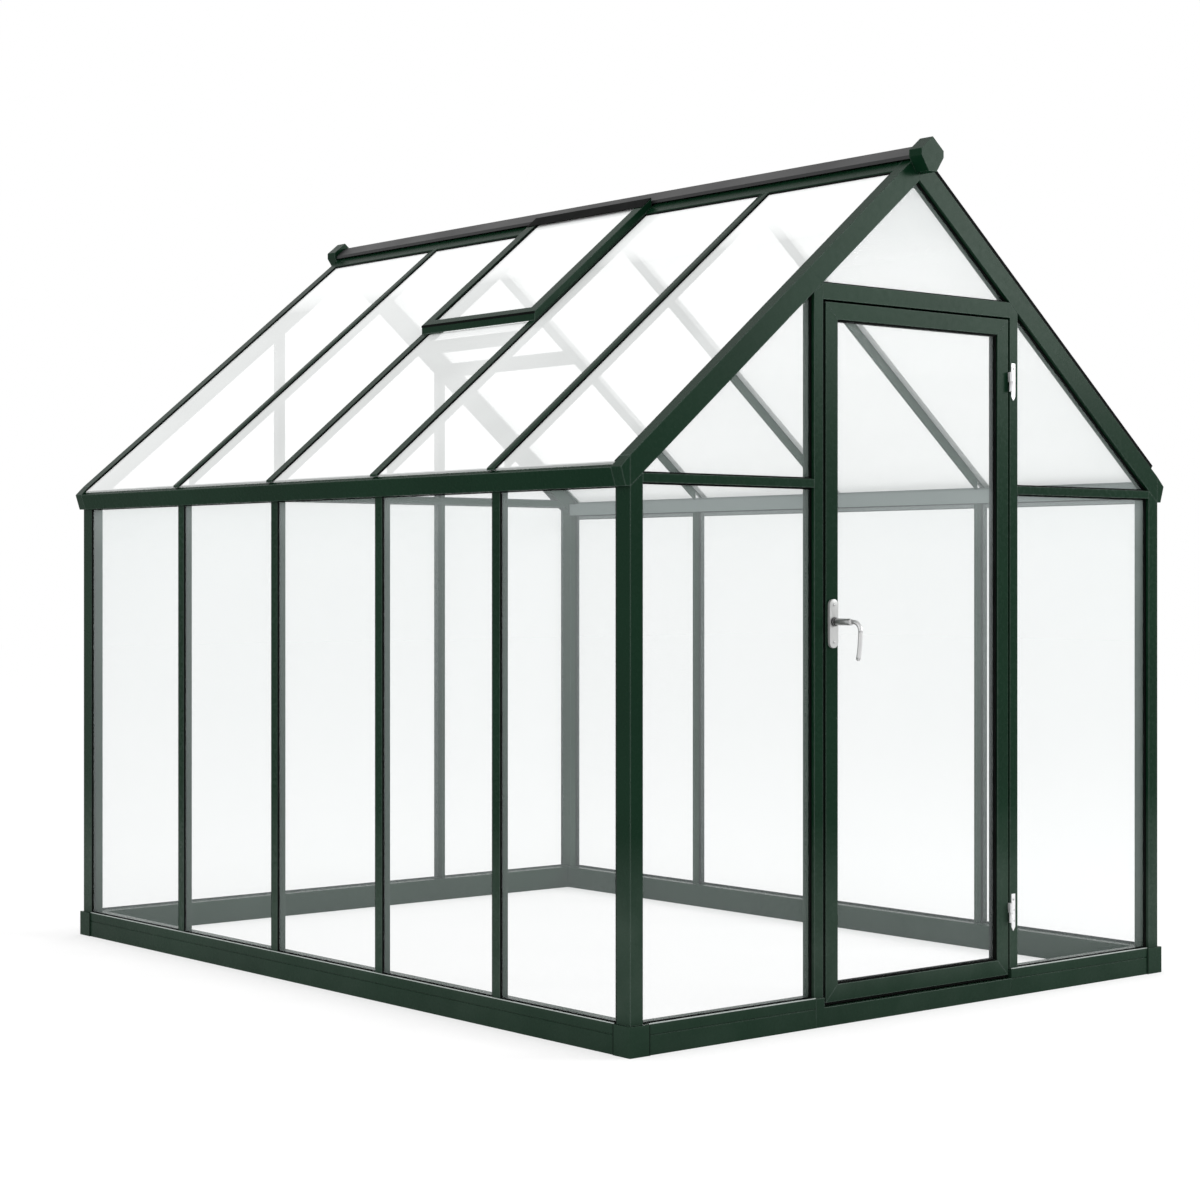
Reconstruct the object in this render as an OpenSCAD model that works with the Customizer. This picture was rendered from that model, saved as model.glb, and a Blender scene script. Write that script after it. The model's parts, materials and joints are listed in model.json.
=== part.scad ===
// Glass greenhouse: a glazed bar frame on a low base, a pitched roof with a vent, and a hinged front door.
// X runs across the width, Y along the length with the door at its low end, and Z is up from the ground.

/* [Base] */
// Length of the base frame over its corner blocks
base_l = 2570; // [2200:10:3600]
// Width of the base frame over its corner blocks
base_w = 1930; // [1800:10:2400]
// Height of the base frame
base_h = 71; // [60:1:110]
// Thickness of a base rail in plan
base_rail_t = 55; // [44:1:70]
// Reach of a corner block past the inner face of the rail beside it
corner_arm = 2; // [1:1:60]
// How far a corner block stands proud of the rails
corner_proud = 3; // [1:0.5:5]
// Width of the shadow groove along a base rail
groove_w = 3; // [2:0.5:5]
// Depth of the shadow groove
groove_d = 2; // [1:0.5:4]
// Height of rail above the shadow groove
groove_drop = 23; // [12:1:32]
// Height of the door sill
sill_h = 47; // [30:1:58]

/* [Walls] */
// Setback of the wall face from the base face
face_in = 8; // [5:1:15]
// Height of the foot of the eave rails
eave_z = 1293; // [1200:1:1700]
// Width of a corner post across the gable
post_w = 38; // [34:1:60]
// Depth of a corner post along the side
post_d = 49; // [42:1:70]
// Number of glazing bars on the left side and its roof slope
left_bars = 4; // [4:1:6]
// Number of glazing bars on the right side and its roof slope
right_bars = 3; // [2:1:6]
// Shift of the left bars along the length
left_shift = -40; // [-60:1:60]
// Shift of the right bars along the length
right_shift = -28; // [-60:1:60]
// Shift of the back gable bars across the width
back_shift = 60; // [-80:1:80]
// Width of a bar cap outside the glass
cap_w = 30; // [24:1:44]
// Thickness of a bar cap
cap_t = 5; // [3:0.5:8]
// Width of a bar web inside the glass
web_w = 10; // [6:1:16]
// Depth of a bar web inside the cap
web_d = 28; // [20:1:40]
// Thickness of a glass pane
glass_t = 4; // [3:0.5:6]
// Clearance of a pane beside a bar web
glass_gap = 1; // [0.5:0.5:3]
// Height of a gable crossbar
crossbar_h = 21; // [14:1:30]
// Rise of the front crossbars above the foot of the eave rails
crossbar_rise = 10; // [6:1:40]
// Rise of the back crossbar above the foot of the eave rails
back_rise = 42; // [20:1:60]
// Depth of a gable crossbar
crossbar_d = 28; // [26:1:36]
// Setback of the front panes from the wall face
front_glass_set = 17; // [8:1:19]

/* [Roof] */
// Slope of the roof in degrees
roof_pitch = 39.5; // [35:0.5:46]
// Width of a rafter across its gable face
rafter_w = 55; // [44:1:70]
// Depth of a rafter along the length
rafter_d = 36; // [30:1:40]
// Width of the pane seat behind a rafter
seat_w = 10; // [6:1:16]
// Thickness of the pane seat behind a rafter
seat_t = 4; // [3:0.5:8]
// Width of an eave rail inside the wall face
eave_rail_w = 32; // [26:1:36]
// Height of the wall top above the foot of the eave rail
eave_step = 12; // [6:1:16]
// Clearance of the eave rail's inner top below the rafter's pane seat
eave_drop = 2; // [1:0.5:6]
// Reach of the eave rail past the wall face at its foot
eave_out_low = 14; // [6:1:20]
// Reach of the eave rail past the wall face at its lip
eave_out_high = 28; // [24:1:40]
// Height of the eave rail at its lip
eave_lip_h = 44; // [36:1:50]
// Thickness of the eave lip
eave_lip_t = 4; // [3:0.5:6]
// Clearance between pieces that lie on the slope
slope_gap = 0.2; // [0.1:0.05:0.5]
// Reach of the roof panes past the wall face
pane_over = 11; // [6:1:14]
// Reach of the roof bars past the wall face
bar_over = 17; // [12:1:20]
// Half width of the ridge beam flange
ridge_x = 60; // [54:1:80]
// Lap of the ridge flange over the panes
ridge_lap = 15; // [10:1:20]
// Thickness of the pane seat under the ridge flange
ridge_seat_t = 11; // [6:1:16]
// Thickness of the ridge beam web
ridge_web_t = 12; // [8:1:20]
// Height of the ridge beam below the roof apex
ridge_depth = 84; // [70:1:120]
// Half width of the ridge cap
ridge_cap_x = 34; // [28:1:40]
// Half width of the foot of the ridge cap
ridge_foot_x = 20; // [12:1:24]
// Thickness of the ridge cap over the ridge beam
ridge_cap_t = 13; // [10:1:18]
// Height of the shadow gap under the edge of the ridge cap
ridge_gap = 6; // [3:1:8]
// Reach of the ridge end caps past the base
ridge_over = 36; // [20:1:50]
// How far a ridge end cap stands above the ridge cap
end_cap_up = 13; // [6:1:20]
// Half width of a ridge end cap
end_cap_x = 40; // [36:1:50]
// Height of the upright edge of a ridge end cap
end_cap_edge = 17; // [10:1:26]
// Half width of the foot of a ridge end cap
end_cap_foot_x = 14; // [8:1:24]
// Drop of the foot of a ridge end cap below its upright edge
end_cap_foot_drop = 38; // [24:1:50]

/* [Vent] */
// Distance of the vent's lower edge from the ridge line, in plan
vent_low_x = 455; // [300:5:600]
// Distance of the vent's upper edge from the edge of the ridge cap, in plan
vent_top_gap = 4; // [2:1:10]
// Thickness of the vent frame
vent_t = 20; // [14:1:34]
// Width of the vent frame sides
vent_side_w = 36; // [26:1:44]
// Width of the vent's upper and lower rails, in plan
vent_rail_w = 17; // [14:1:36]
// Lap of the vent frame past the middle of a roof bar
vent_lap = 12; // [6:1:14]
// Depth of the vent glass below the top of its frame
vent_glass_drop = 7; // [4:1:10]
// Distance of the transom's middle below the vent's lower edge, in plan
transom_drop = 28; // [20:1:60]
// Width of a transom, in plan
transom_w = 30; // [24:1:50]
// Depth of a transom under the panes
transom_d = 14; // [8:1:24]
// Distance of the right transom's middle from the ridge line, in plan
right_transom_x = 415; // [300:5:600]

/* [Door] */
// Width of the door leaf
door_w = 668; // [560:1:800]
// Thickness of the door leaf
door_t = 30; // [24:1:34]
// Distance of the door's middle from the middle of the gable
door_x = 3; // [-60:1:60]
// Gap beside the hinges and over the door leaf
door_gap = 5; // [5:0.5:8]
// Gap between the door leaf and the latch jamb
latch_gap = 11; // [5:0.5:14]
// Gap under the door leaf
sill_gap = 9; // [5:0.5:14]
// Setback of the door face from the wall face
door_set = 2; // [0:0.5:6]
// Width of a door stile or rail
stile_w = 41; // [36:1:70]
// Setback of the door glass from the door face
door_glass_set = 13; // [8:1:20]
// Width of a door jamb
jamb_w = 30; // [26:1:60]
// Depth of a door jamb
jamb_d = 40; // [34:1:48]
// Height of the lintel
lintel_h = 40; // [26:1:60]

/* [Hinges] */
// Distance of a hinge's middle from the end of the door
hinge_in = 161; // [110:1:300]
// Radius of a hinge knuckle
knuckle_r = 6; // [5:0.5:8]
// Height of one hinge knuckle
knuckle_h = 25; // [18:1:40]
// Radius of the hinge pin
pin_r = 2.5; // [2:0.1:3]
// Clearance of the hinge pin and between knuckles
pin_gap = 0.3; // [0.2:0.05:0.5]
// Clearance of the knuckles from the wall face
knuckle_gap = 1; // [0.5:0.5:1.5]
// Thickness of a hinge leaf
leaf_t = 2.5; // [2:0.1:3]
// Width of the hinge leaf on the jamb
leaf_w = 14; // [10:1:24]
// Height of the hinge leaf on the jamb
leaf_h = 96; // [76:1:140]
// Length of the pointed foot of the hinge leaf on the jamb
leaf_tip = 10; // [6:1:16]
// Thickness of the hinge leaf on the door edge
edge_leaf_t = 2; // [1.5:0.1:3]
// Reach of the hinge leaf along the door edge
edge_leaf_d = 24; // [14:1:24]

/* [Handle] */
// Height of the handle's spindle above the ground
handle_z = 979; // [850:1:1150]
// Width of the handle plate
plate_w = 29; // [24:1:38]
// Height of the handle plate
plate_h = 119; // [90:1:180]
// Thickness of the handle plate
plate_t = 8; // [6:0.5:12]
// Height of the handle plate above the spindle
plate_up = 55; // [40:1:90]
// Radius of the spindle
spindle_r = 4; // [3:0.5:6]
// Length of the spindle inside the plate
spindle_in = 5; // [3:0.5:5]
// Running clearance of the handle in its plate
handle_gap = 0.3; // [0.2:0.05:0.5]
// Radius of the handle's neck
neck_r = 7.5; // [6:0.5:10]
// Reach of the neck from the door face
neck_out = 66; // [40:1:70]
// Radius of the lever rod
rod_r = 5.5; // [4.5:0.5:7]
// Reach of the lever's middle from the door face
lever_out = 96; // [84:1:115]
// Radius of the bend from the neck into the lever
bend_r = 22; // [14:1:28]
// Drop of the lever below the spindle
lever_drop = 88; // [75:1:130]
// Angle that the lever curves back towards the door below its bend
lever_curve = 12; // [6:1:24]

/* [Hidden] */
$fn = 48;

green = [0.19, 0.27, 0.22];
dark_grey = [0.16, 0.16, 0.17];
silver = [0.78, 0.78, 0.79];
clear = [0.85, 0.92, 0.92, 0.35];

// Overlap between two shapes that are one piece
fuse = 1;
// Step in radius where a straight length of rod meets a bend
rod_step = 0.1;
// Angle that the lever's long curve laps into its bend
lever_lap = 0.2;
// Depth from the wall face to the inner face of a pane
pane_in = cap_t + glass_t;
// Depth from the top of a roof bar to the seats of its panes
roof_pane_in = pane_in + 2 * slope_gap;

// Distances across the width, measured from the ridge line
half_w = base_w / 2;
wall_face = half_w - face_in;
rail_face = half_w - corner_proud;
base_corner_l = base_rail_t + corner_proud + corner_arm;
post_in = wall_face - post_w;
eave_in = wall_face - eave_rail_w;
lip_x = wall_face + eave_out_high;
opening_x0 = door_x - door_w / 2 - latch_gap;
opening_x1 = door_x + door_w / 2 + door_gap;
sill_x0 = opening_x0 - jamb_w;

// Places along the length, with the whole object centred between its handle and its rear ridge end cap
handle_reach = lever_out + rod_r - face_in - door_set;
front_reach = max(handle_reach, ridge_over);
y_mid = (front_reach - ridge_over) / 2;
base_y0 = y_mid - base_l / 2;
base_y1 = y_mid + base_l / 2;
front_y = base_y0 + face_in;
back_y = base_y1 - face_in;
door_y = front_y + door_set;

// Heights
roof_apex = eave_z + rafter_w / cos(roof_pitch) + wall_face * tan(roof_pitch);
wall_top = eave_z + eave_step;
lip_z = eave_z + eave_lip_h;
shelf_top = roof_z(wall_face, -roof_pane_in - seat_t) - eave_drop;
crossbar_z = eave_z + crossbar_rise;
back_cross_z = eave_z + back_rise;
lintel_top = rafter_low(max(abs(opening_x0), abs(opening_x1)));
lintel_z = lintel_top - lintel_h;
door_z0 = sill_h + sill_gap;
door_z1 = lintel_z - door_gap;

// Places of the glazing bars
clear_l = base_l - 2 * (face_in + post_d);
left_ys = bar_places(left_bars, left_shift);
right_ys = bar_places(right_bars, right_shift);
back_pitch = 2 * wall_face / 3;
back_xs = [back_shift - back_pitch / 2, back_shift + back_pitch / 2];

// The vent covers the bay in the middle of the left roof slope
vent_bay = floor(left_bars / 2);
vent_y0 = left_ys[vent_bay - 1] - vent_lap;
vent_y1 = left_ys[vent_bay] + vent_lap;
vent_top_x = ridge_cap_x + vent_top_gap;
transom_x = vent_low_x + transom_drop;

// Foot of the roof bar webs, where they come down on the eave rails
web_foot_x = (roof_apex - (cap_t + web_d) / cos(roof_pitch) - shelf_top) / tan(roof_pitch) - slope_gap;
bar_foot_x = max(eave_in, web_foot_x);

// Hinge axis and hinge heights
hinge_x = opening_x1 - door_gap / 2;
hinge_y = front_y - knuckle_r - knuckle_gap;
hinge_zs = [door_z0 + hinge_in, door_z1 - hinge_in];
handle_x = door_x - door_w / 2 + stile_w / 2;

// Height of the roof at a distance from the ridge line, at a depth square to the slope
function roof_z(x, n) = roof_apex - x * tan(roof_pitch) + n / cos(roof_pitch);

// Height of the underside of a rafter
function rafter_low(x) = roof_z(x, -rafter_w);

// Even places along a side for its glazing bars
function bar_places(count, shift) = [
    for (i = [0 : count - 1])
        y_mid + shift + (i - (count - 1) / 2) * (clear_l + web_w) / (count + 1)
];

// Start of each bay between end faces and bar webs
function bay_starts(first, places) = [
    first,
    for (p = places) p + web_w / 2 + glass_gap
];

// End of each bay between end faces and bar webs
function bay_ends(places, last) = [
    for (p = places) p - web_w / 2 - glass_gap,
    last
];

// Left or right half of the building
module on_side(side) {
    if (side < 0) mirror([1, 0, 0]) children();
    else children();
}

// Front or back end of the building
module at_end(back) {
    if (back) translate([0, 2 * y_mid, 0]) mirror([0, 1, 0]) children();
    else children();
}

// Outline in the plane of the gable, extruded along the length
module gable_prism(y0, y1) {
    translate([0, y1, 0])
        rotate([90, 0, 0])
            linear_extrude(y1 - y0)
                children();
}

// Band that follows the right roof slope between two plumb cuts
module slope_band(x0, x1, n0, n1) {
    polygon([
        [x0, roof_z(x0, n0)], [x1, roof_z(x1, n0)],
        [x1, roof_z(x1, n1)], [x0, roof_z(x0, n1)]
    ]);
}

// Part of a rectangle that lies under the rafters
module under_rafters(x0, x1, z0, z1) {
    intersection() {
        polygon([
            [-wall_face, 0], [wall_face, 0], [wall_face, rafter_low(wall_face)],
            [0, rafter_low(0)], [-wall_face, rafter_low(wall_face)]
        ]);
        translate([x0, z0]) square([x1 - x0, z1 - z0]);
    }
}

// Upright or level piece in the gable, cut to the rafters
module gable_piece(y0, y1, x0, x1, z0, z1) {
    gable_prism(y0, y1) under_rafters(x0, x1, z0, z1);
}

// Base rail along X with its outer face at Y = 0
module base_rail(len) {
    groove_z = base_h - groove_drop;
    rotate([90, 0, 90])
        linear_extrude(len)
            polygon([
                [0, 0], [0, groove_z - groove_w], [groove_d, groove_z - groove_w],
                [groove_d, groove_z], [0, groove_z], [0, base_h],
                [base_rail_t, base_h], [base_rail_t, 0]
            ]);
}

// Corner block of the base at the front right
module base_corner() {
    arm = base_rail_t + corner_proud;
    linear_extrude(base_h)
        translate([half_w, base_y0])
            polygon([
                [0, 0], [0, base_corner_l], [-arm, base_corner_l], [-arm, arm],
                [-base_corner_l, arm], [-base_corner_l, 0]
            ]);
}

// Corner post at the front right, cut to the rafter in front and to the eave rail behind
module post() {
    gable_piece(front_y, front_y + rafter_d, post_in, wall_face, base_h, roof_apex);
    translate([post_in, front_y + rafter_d - fuse, base_h])
        cube([post_w, post_d - rafter_d + fuse, eave_z - base_h]);
    translate([post_in, front_y + rafter_d, eave_z - fuse])
        cube([post_w, post_d - rafter_d, wall_top - eave_z + fuse]);
}

// Upright glazing bar of the right wall
module wall_bar(y) {
    translate([wall_face - cap_t, y - cap_w / 2, base_h])
        cube([cap_t, cap_w, wall_top - base_h]);
    translate([wall_face - cap_t - web_d, y - web_w / 2, base_h])
        cube([web_d + fuse, web_w, wall_top - base_h]);
}

// Upright glazing bar of a gable
module gable_bar(x) {
    gable_piece(front_y, front_y + cap_t, x - cap_w / 2, x + cap_w / 2, base_h, roof_apex);
    gable_piece(
        front_y + cap_t - fuse, front_y + cap_t + web_d,
        x - web_w / 2, x + web_w / 2, base_h, roof_apex
    );
}

// Pane of the right wall
module wall_pane(y0, y1) {
    translate([wall_face - pane_in, y0, base_h])
        cube([glass_t, y1 - y0, wall_top - base_h]);
}

// Pane in a gable, at a setback from the wall face
module gable_pane(x0, x1, z0, z1, setback) {
    gable_piece(front_y + setback, front_y + setback + glass_t, x0, x1, z0, z1);
}

// Panes below and above a crossbar
module gable_panes(x0, x1, cross_z, setback) {
    gable_pane(x0, x1, base_h, cross_z, setback);
    gable_pane(x0, x1, cross_z + crossbar_h, roof_apex, setback);
}

// Section of an eave rail: an apron over the wall face, a lip and pane seat, and a shelf on the wall top
module eave_section() {
    lip_in = lip_x - eave_lip_t;
    polygon([
        [eave_in, wall_top], [wall_face, wall_top], [wall_face, eave_z],
        [wall_face + eave_out_low, eave_z], [lip_x, lip_z], [lip_in, lip_z],
        [lip_in, roof_z(lip_in, -roof_pane_in)], [wall_face, roof_z(wall_face, -roof_pane_in)],
        [wall_face, shelf_top], [eave_in, shelf_top]
    ]);
}

// Outline of an eave end cap, which carries the rafter's slope out to the lip
module eave_end_outline() {
    polygon([
        [wall_face, eave_z], [wall_face + eave_out_low, eave_z],
        [lip_x, lip_z], [wall_face, roof_z(wall_face, 0)]
    ]);
}

// Rafter of the right slope at the front gable, with its pane seat
module rafter() {
    gable_prism(front_y, front_y + rafter_d)
        slope_band(0, wall_face, -rafter_w, 0);
    gable_prism(front_y + rafter_d - fuse, front_y + rafter_d + seat_w)
        slope_band(ridge_x, wall_face, -roof_pane_in - seat_t, -roof_pane_in);
}

// Glazing bar of the right roof slope
module roof_bar(y) {
    gable_prism(y - cap_w / 2, y + cap_w / 2)
        slope_band(ridge_x, wall_face + bar_over, -cap_t, 0);
    gable_prism(y - web_w / 2, y + web_w / 2)
        slope_band(ridge_x, bar_foot_x, -cap_t - web_d, fuse - cap_t);
}

// Pane of the right roof slope
module roof_pane(y0, y1, x0) {
    gable_prism(y0, y1)
        slope_band(x0, wall_face + pane_over, -pane_in - slope_gap, -cap_t - slope_gap);
}

// Level bar under the panes of the right roof slope
module roof_transom(x, y0, y1) {
    gable_prism(y0, y1)
        slope_band(x - transom_w / 2, x + transom_w / 2, -roof_pane_in - transom_d, -roof_pane_in);
}

// Row of roof panes, with one pane that starts lower down where a vent is
module roof_panes(places, low_bay) {
    starts = bay_starts(front_y + rafter_d, places);
    ends = bay_ends(places, back_y - rafter_d);
    top_x = ridge_x - ridge_lap + glass_gap;
    low_x = vent_low_x - vent_rail_w / 2;
    for (i = [0 : len(places)])
        roof_pane(starts[i], ends[i], i == low_bay ? low_x : top_x);
}

// Row of wall panes
module wall_panes(places) {
    starts = bay_starts(front_y + post_d, places);
    ends = bay_ends(places, back_y - post_d);
    for (i = [0 : len(places)])
        wall_pane(starts[i], ends[i]);
}

// Closed outline from the points of its right half, which start and end on the ridge line
function both_halves(points) = concat(
    points,
    [for (i = [len(points) - 2 : -1 : 1]) [-points[i][0], points[i][1]]]
);

// Section of the ridge beam
module ridge_beam_section() {
    pane_x = ridge_x - ridge_lap;
    seat_n = -roof_pane_in - ridge_seat_t;
    web_x = ridge_web_t / 2;
    polygon(both_halves([
        [0, roof_z(0, 0)], [ridge_x, roof_z(ridge_x, 0)], [ridge_x, roof_z(ridge_x, -cap_t)],
        [pane_x, roof_z(pane_x, -cap_t)], [pane_x, roof_z(pane_x, -roof_pane_in)],
        [ridge_x, roof_z(ridge_x, -roof_pane_in)], [ridge_x, roof_z(ridge_x, seat_n)],
        [web_x, roof_z(web_x, seat_n)], [web_x, roof_apex - ridge_depth], [0, roof_apex - ridge_depth]
    ]));
}

// Section of the ridge cap
module ridge_cap_section() {
    polygon(both_halves([
        [0, roof_z(0, ridge_cap_t)], [ridge_cap_x, roof_z(ridge_cap_x, ridge_cap_t)],
        [ridge_cap_x, roof_z(ridge_cap_x, ridge_gap)], [ridge_foot_x, roof_z(ridge_foot_x, ridge_gap)],
        [ridge_foot_x, roof_z(ridge_foot_x, slope_gap)], [0, roof_z(0, slope_gap)]
    ]));
}

// Outline of a ridge end cap
module end_cap_outline() {
    top_n = ridge_cap_t + end_cap_up;
    edge_z = roof_z(end_cap_x, top_n);
    low_z = edge_z - end_cap_edge;
    foot_z = low_z - end_cap_foot_drop;
    polygon([
        [0, roof_z(0, top_n)], [end_cap_x, edge_z], [end_cap_x, low_z], [end_cap_foot_x, foot_z],
        [-end_cap_foot_x, foot_z], [-end_cap_x, low_z], [-end_cap_x, edge_z]
    ]);
}

// Outline of a door piece, drawn in the plane of the gable
module door_piece(points) {
    gable_prism(door_y, door_y + door_t) polygon(points);
}

// Corner of the door leaf, set in by a margin on both sides
function door_corner(right, top, margin) = [
    door_x + (right ? 1 : -1) * (door_w / 2 - margin),
    top ? door_z1 - margin : door_z0 + margin
];

// Half of a hinge on the jamb: leaf, lower knuckle and pin
module jamb_hinge(z) {
    leaf_x = opening_x1 + knuckle_r - door_gap / 2 + pin_gap;
    leaf_z = z - leaf_h / 2;
    gable_prism(front_y - leaf_t, front_y)
        polygon([
            [leaf_x, leaf_z + leaf_tip], [leaf_x + leaf_w / 2, leaf_z], [leaf_x + leaf_w, leaf_z + leaf_tip],
            [leaf_x + leaf_w, leaf_z + leaf_h], [leaf_x, leaf_z + leaf_h]
        ]);
    difference() {
        translate([hinge_x, front_y - leaf_t, z - knuckle_h])
            cube([leaf_x - hinge_x + fuse, leaf_t, knuckle_h - pin_gap]);
        translate([hinge_x, hinge_y, z - knuckle_h - fuse])
            cylinder(r = pin_r, h = knuckle_h + 2 * fuse);
    }
    translate([hinge_x, hinge_y, z - knuckle_h])
        cylinder(r = knuckle_r, h = knuckle_h - pin_gap);
    translate([hinge_x, hinge_y, z - knuckle_h])
        cylinder(r = pin_r, h = 2 * knuckle_h - pin_gap);
}

// Half of a hinge on the door: upper knuckle and the leaf let into the gap beside the stile
module door_hinge(z) {
    edge_x = door_x + door_w / 2;
    difference() {
        union() {
            translate([hinge_x, hinge_y, z])
                cylinder(r = knuckle_r, h = knuckle_h);
            translate([edge_x, hinge_y, z])
                cube([edge_leaf_t, door_y - hinge_y + edge_leaf_d, knuckle_h]);
        }
        translate([hinge_x, hinge_y, z - fuse])
            cylinder(r = pin_r + pin_gap, h = knuckle_h + 2 * fuse);
    }
}

module base_front_left() {
    x0 = -half_w + base_corner_l;
    color(green)
        translate([x0, base_y0 + corner_proud, 0])
            base_rail(sill_x0 - x0);
}

module door_sill() {
    sill_y = base_y0 + corner_proud;
    color(green)
        gable_prism(sill_y, sill_y + base_rail_t)
            polygon([
                [sill_x0, 0], [opening_x1, 0], [opening_x1, sill_h],
                [opening_x0, sill_h], [opening_x0, base_h], [sill_x0, base_h]
            ]);
}

module base_front_right() {
    color(green)
        translate([opening_x1, base_y0 + corner_proud, 0])
            base_rail(half_w - base_corner_l - opening_x1);
}

module base_back() {
    len = base_w - 2 * base_corner_l;
    color(green)
        translate([len / 2, base_y1 - corner_proud, 0])
            rotate([0, 0, 180])
                base_rail(len);
}

module base_side() {
    len = base_l - 2 * base_corner_l;
    translate([rail_face, y_mid - len / 2, 0])
        rotate([0, 0, 90])
            base_rail(len);
}

module base_left() { color(green) on_side(-1) base_side(); }

module base_right() { color(green) on_side(1) base_side(); }

module base_corners(side) {
    for (back = [false, true])
        at_end(back) on_side(side) base_corner();
}

module base_corners_left() { color(green) base_corners(-1); }

module base_corners_right() { color(green) base_corners(1); }

module post_front_left() { color(green) on_side(-1) post(); }

module post_front_right() { color(green) on_side(1) post(); }

module post_back_left() { color(green) at_end(true) on_side(-1) post(); }

module post_back_right() { color(green) at_end(true) on_side(1) post(); }

module left_wall_bars() {
    color(green) on_side(-1)
        for (y = left_ys) wall_bar(y);
}

module right_wall_bars() {
    color(green) on_side(1)
        for (y = right_ys) wall_bar(y);
}

module back_gable_bars() {
    color(green) at_end(true)
        for (x = back_xs) gable_bar(x);
}

module back_crossbar() {
    starts = [-post_in, back_xs[0] + web_w / 2, back_xs[1] + web_w / 2];
    ends = [back_xs[0] - web_w / 2, back_xs[1] - web_w / 2, post_in];
    color(green) at_end(true)
        for (i = [0 : 2])
            gable_piece(
                front_y + cap_t, front_y + cap_t + crossbar_d,
                starts[i], ends[i], back_cross_z, back_cross_z + crossbar_h
            );
}

module eave_rail() {
    gable_prism(front_y + rafter_d, back_y - rafter_d) eave_section();
}

module left_eave_rail() { color(green) on_side(-1) eave_rail(); }

module right_eave_rail() { color(green) on_side(1) eave_rail(); }

module eave_end_caps() {
    color(green)
        for (back = [false, true], side = [-1, 1])
            at_end(back) on_side(side)
                gable_prism(front_y, front_y + rafter_d) eave_end_outline();
}

module front_left_rafter() { color(green) on_side(-1) rafter(); }

module front_right_rafter() { color(green) on_side(1) rafter(); }

module back_left_rafter() { color(green) at_end(true) on_side(-1) rafter(); }

module back_right_rafter() { color(green) at_end(true) on_side(1) rafter(); }

module ridge_beam() {
    color(green)
        gable_prism(front_y + rafter_d, back_y - rafter_d) ridge_beam_section();
}

module ridge_cap() {
    color(dark_grey)
        gable_prism(front_y, back_y) ridge_cap_section();
}

module ridge_end_caps() {
    color(green)
        for (back = [false, true])
            at_end(back)
                gable_prism(base_y0 - ridge_over, front_y) end_cap_outline();
}

module left_roof_bars() {
    color(green) on_side(-1)
        for (y = left_ys) roof_bar(y);
}

module right_roof_bars() {
    color(green) on_side(1)
        for (y = right_ys) roof_bar(y);
}

module front_crossbar(x0, x1) {
    gable_piece(front_y, front_y + crossbar_d, x0, x1, crossbar_z, crossbar_z + crossbar_h);
}

module front_left_crossbar() { color(green) front_crossbar(-post_in, sill_x0); }

module front_right_crossbar() { color(green) front_crossbar(opening_x1 + jamb_w, post_in); }

module door_jamb(x) {
    gable_piece(front_y, front_y + jamb_d, x, x + jamb_w, base_h, roof_apex);
}

module door_jamb_left() { color(green) door_jamb(sill_x0); }

module door_jamb_right() { color(green) door_jamb(opening_x1); }

module door_lintel() {
    color(green)
        gable_piece(front_y, front_y + rafter_d, opening_x0, opening_x1, lintel_z, lintel_top);
}

module left_wall_glass() { color(clear) on_side(-1) wall_panes(left_ys); }

module right_wall_glass() { color(clear) on_side(1) wall_panes(right_ys); }

module front_panes(x0, x1) { gable_panes(x0, x1, crossbar_z, front_glass_set); }

module front_left_glass() { color(clear) front_panes(-post_in, sill_x0); }

module front_right_glass() { color(clear) front_panes(opening_x1 + jamb_w, post_in); }

module front_gable_glass() {
    color(clear) gable_pane(opening_x0, opening_x1, lintel_top, roof_apex, front_glass_set);
}

module back_wall_glass() {
    starts = bay_starts(-post_in, back_xs);
    ends = bay_ends(back_xs, post_in);
    color(clear) at_end(true)
        for (i = [0 : len(back_xs)])
            gable_panes(starts[i], ends[i], back_cross_z, cap_t);
}

module left_roof_glass() { color(clear) on_side(-1) roof_panes(left_ys, vent_bay); }

module right_roof_glass() { color(clear) on_side(1) roof_panes(right_ys, -1); }

module roof_vent_frame() {
    color(green) on_side(-1)
        difference() {
            gable_prism(vent_y0, vent_y1)
                slope_band(vent_top_x, vent_low_x, slope_gap, slope_gap + vent_t);
            gable_prism(vent_y0 + vent_side_w, vent_y1 - vent_side_w)
                slope_band(vent_top_x + vent_rail_w, vent_low_x - vent_rail_w, -fuse, vent_t + 2 * fuse);
        }
}

module roof_vent_glass() {
    glass_n = slope_gap + vent_t - vent_glass_drop;
    color(clear) on_side(-1)
        gable_prism(vent_y0 + vent_side_w, vent_y1 - vent_side_w)
            slope_band(vent_top_x + vent_rail_w, vent_low_x - vent_rail_w, glass_n - glass_t, glass_n);
}

module roof_vent_transom() {
    y0 = left_ys[vent_bay - 1] + web_w / 2;
    y1 = left_ys[vent_bay] - web_w / 2;
    color(green) on_side(-1) roof_transom(transom_x, y0, y1);
}

module right_roof_transom() {
    y0 = right_ys[right_bars - 1] + web_w / 2;
    y1 = back_y - rafter_d - seat_w;
    color(green) on_side(1) roof_transom(right_transom_x, y0, y1);
}

module jamb_hinges() {
    color(silver)
        for (z = hinge_zs) jamb_hinge(z);
}

module door_left_stile() {
    color(green) door_piece([
        door_corner(false, false, 0), door_corner(false, true, 0),
        door_corner(false, true, stile_w), door_corner(false, false, stile_w)
    ]);
}

module door_right_stile() {
    color(green) door_piece([
        door_corner(true, false, 0), door_corner(true, true, 0),
        door_corner(true, true, stile_w), door_corner(true, false, stile_w)
    ]);
}

module door_top_rail() {
    color(green) door_piece([
        door_corner(false, true, 0), door_corner(true, true, 0),
        door_corner(true, true, stile_w), door_corner(false, true, stile_w)
    ]);
}

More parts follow.
